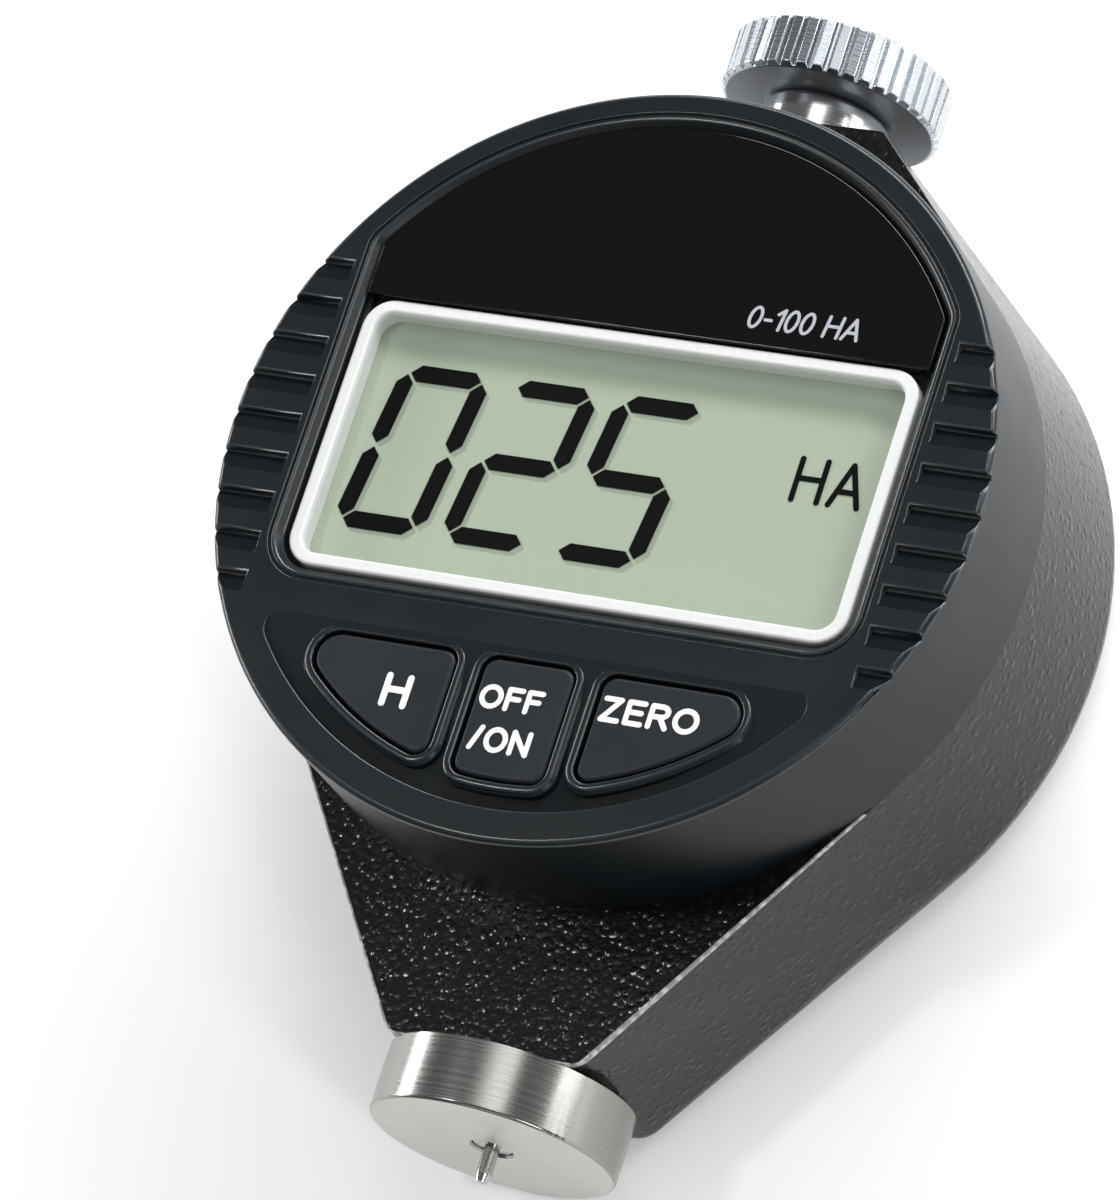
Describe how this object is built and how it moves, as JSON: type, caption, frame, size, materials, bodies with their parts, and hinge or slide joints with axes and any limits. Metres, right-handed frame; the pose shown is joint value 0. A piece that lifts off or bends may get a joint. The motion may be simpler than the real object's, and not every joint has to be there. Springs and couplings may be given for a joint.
{
  "type": "digital durometer",
  "caption": "Handheld digital hardness gauge: painted casting with a round display head and keys, a steel presser foot with a sprung indenter, and a ridged knob on top.",
  "frame": {"origin": "on the flat back face of the casting, under the centre of the display head", "axes": "+Y along the indenter's axis from the presser foot towards the knob, +Z out of the display, +X to the reader's right; the instrument lies on its back"},
  "size_m": [0.0604, 0.0882, 0.0264],
  "materials": {
    "casting_paint": "black grained paint on cast aluminium",
    "polished_steel": "polished stainless steel",
    "hardened_steel": "ground hardened steel",
    "spring_steel": "bright spring steel",
    "zinc_steel": "zinc-plated steel",
    "brass": "turned brass",
    "knob_chrome": "bright chromed steel",
    "circuit_board": "green solder mask",
    "black_moulding": "black epoxy moulding",
    "head_plastic": "satin black plastic",
    "gloss_panel": "gloss black acrylic",
    "white_frame": "white moulded plastic",
    "clear_window": "clear acrylic",
    "liquid_crystal": "grey-green reflective liquid crystal panel",
    "elastomer": "conductive silicone strip",
    "key_plastic": "matt black key plastic",
    "cell_nickel": "nickel-plated steel can"
  },
  "bodies": {
    "body": {"body_casting": "casting_paint", "presser_foot": "polished_steel", "load_spring": "spring_steel", "lower_bush": "brass", "spring_adjuster": "brass", "lock_nut": "zinc_steel", "guide_bracket": "zinc_steel", "bracket_screws": "zinc_steel", "guide_pin": "hardened_steel", "sensor_board": "circuit_board", "board_header": "black_moulding", "knob_stem": "knob_chrome", "head_bezel": "head_plastic", "head_rear_cover": "head_plastic", "nameplate": "gloss_panel", "lcd_surround": "white_frame", "display_window": "clear_window", "lcd_panel": "liquid_crystal", "elastomer_strips": "elastomer", "main_board": "circuit_board", "controller_chip": "black_moulding", "board_screws": "zinc_steel", "hold_dome": "spring_steel", "power_dome": "spring_steel", "zero_dome": "spring_steel", "upper_contact": "brass", "lower_contact": "brass", "head_screws": "zinc_steel"},
    "indenter_spindle": {"indenter": "hardened_steel", "spindle": "hardened_steel", "spring_seat": "brass", "scale_carrier": "brass", "scale_strip": "circuit_board"},
    "hold_key": {"hold_button": "key_plastic"},
    "power_key": {"power_button": "key_plastic"},
    "zero_key": {"zero_button": "key_plastic"},
    "tray": {"battery_tray": "head_plastic", "battery_cell": "cell_nickel"},
    "handle_knob": {"knob": "knob_chrome"}
  },
  "joints": [
    {"name": "indenter_slide", "type": "slide", "parent": "body", "child": "indenter_spindle", "axis": [0, 1, 0], "range_m": [0, 0.0025], "stiffness_N_per_m": 3000, "springref_m": -0.00018, "deforming": ["load_spring"]},
    {"name": "hold_press", "type": "slide", "parent": "body", "child": "hold_key", "axis": [0, 0, -1], "range_m": [0, 0.0005], "stiffness_N_per_m": 2400, "deforming": ["hold_dome"]},
    {"name": "power_press", "type": "slide", "parent": "body", "child": "power_key", "axis": [0, 0, -1], "range_m": [0, 0.0005], "stiffness_N_per_m": 2400, "deforming": ["power_dome"]},
    {"name": "zero_press", "type": "slide", "parent": "body", "child": "zero_key", "axis": [0, 0, -1], "range_m": [0, 0.0005], "stiffness_N_per_m": 2400, "deforming": ["zero_dome"]},
    {"name": "tray_slide", "type": "slide", "parent": "body", "child": "tray", "axis": [-0.4226, 0.9063, 0], "range_m": [0, 0.0145]},
    {"name": "knob_turn", "type": "hinge", "parent": "body", "child": "handle_knob", "pos_m": [0, 0.0385, 0.009], "axis": [0, 1, 0], "continuous": true}
  ]
}
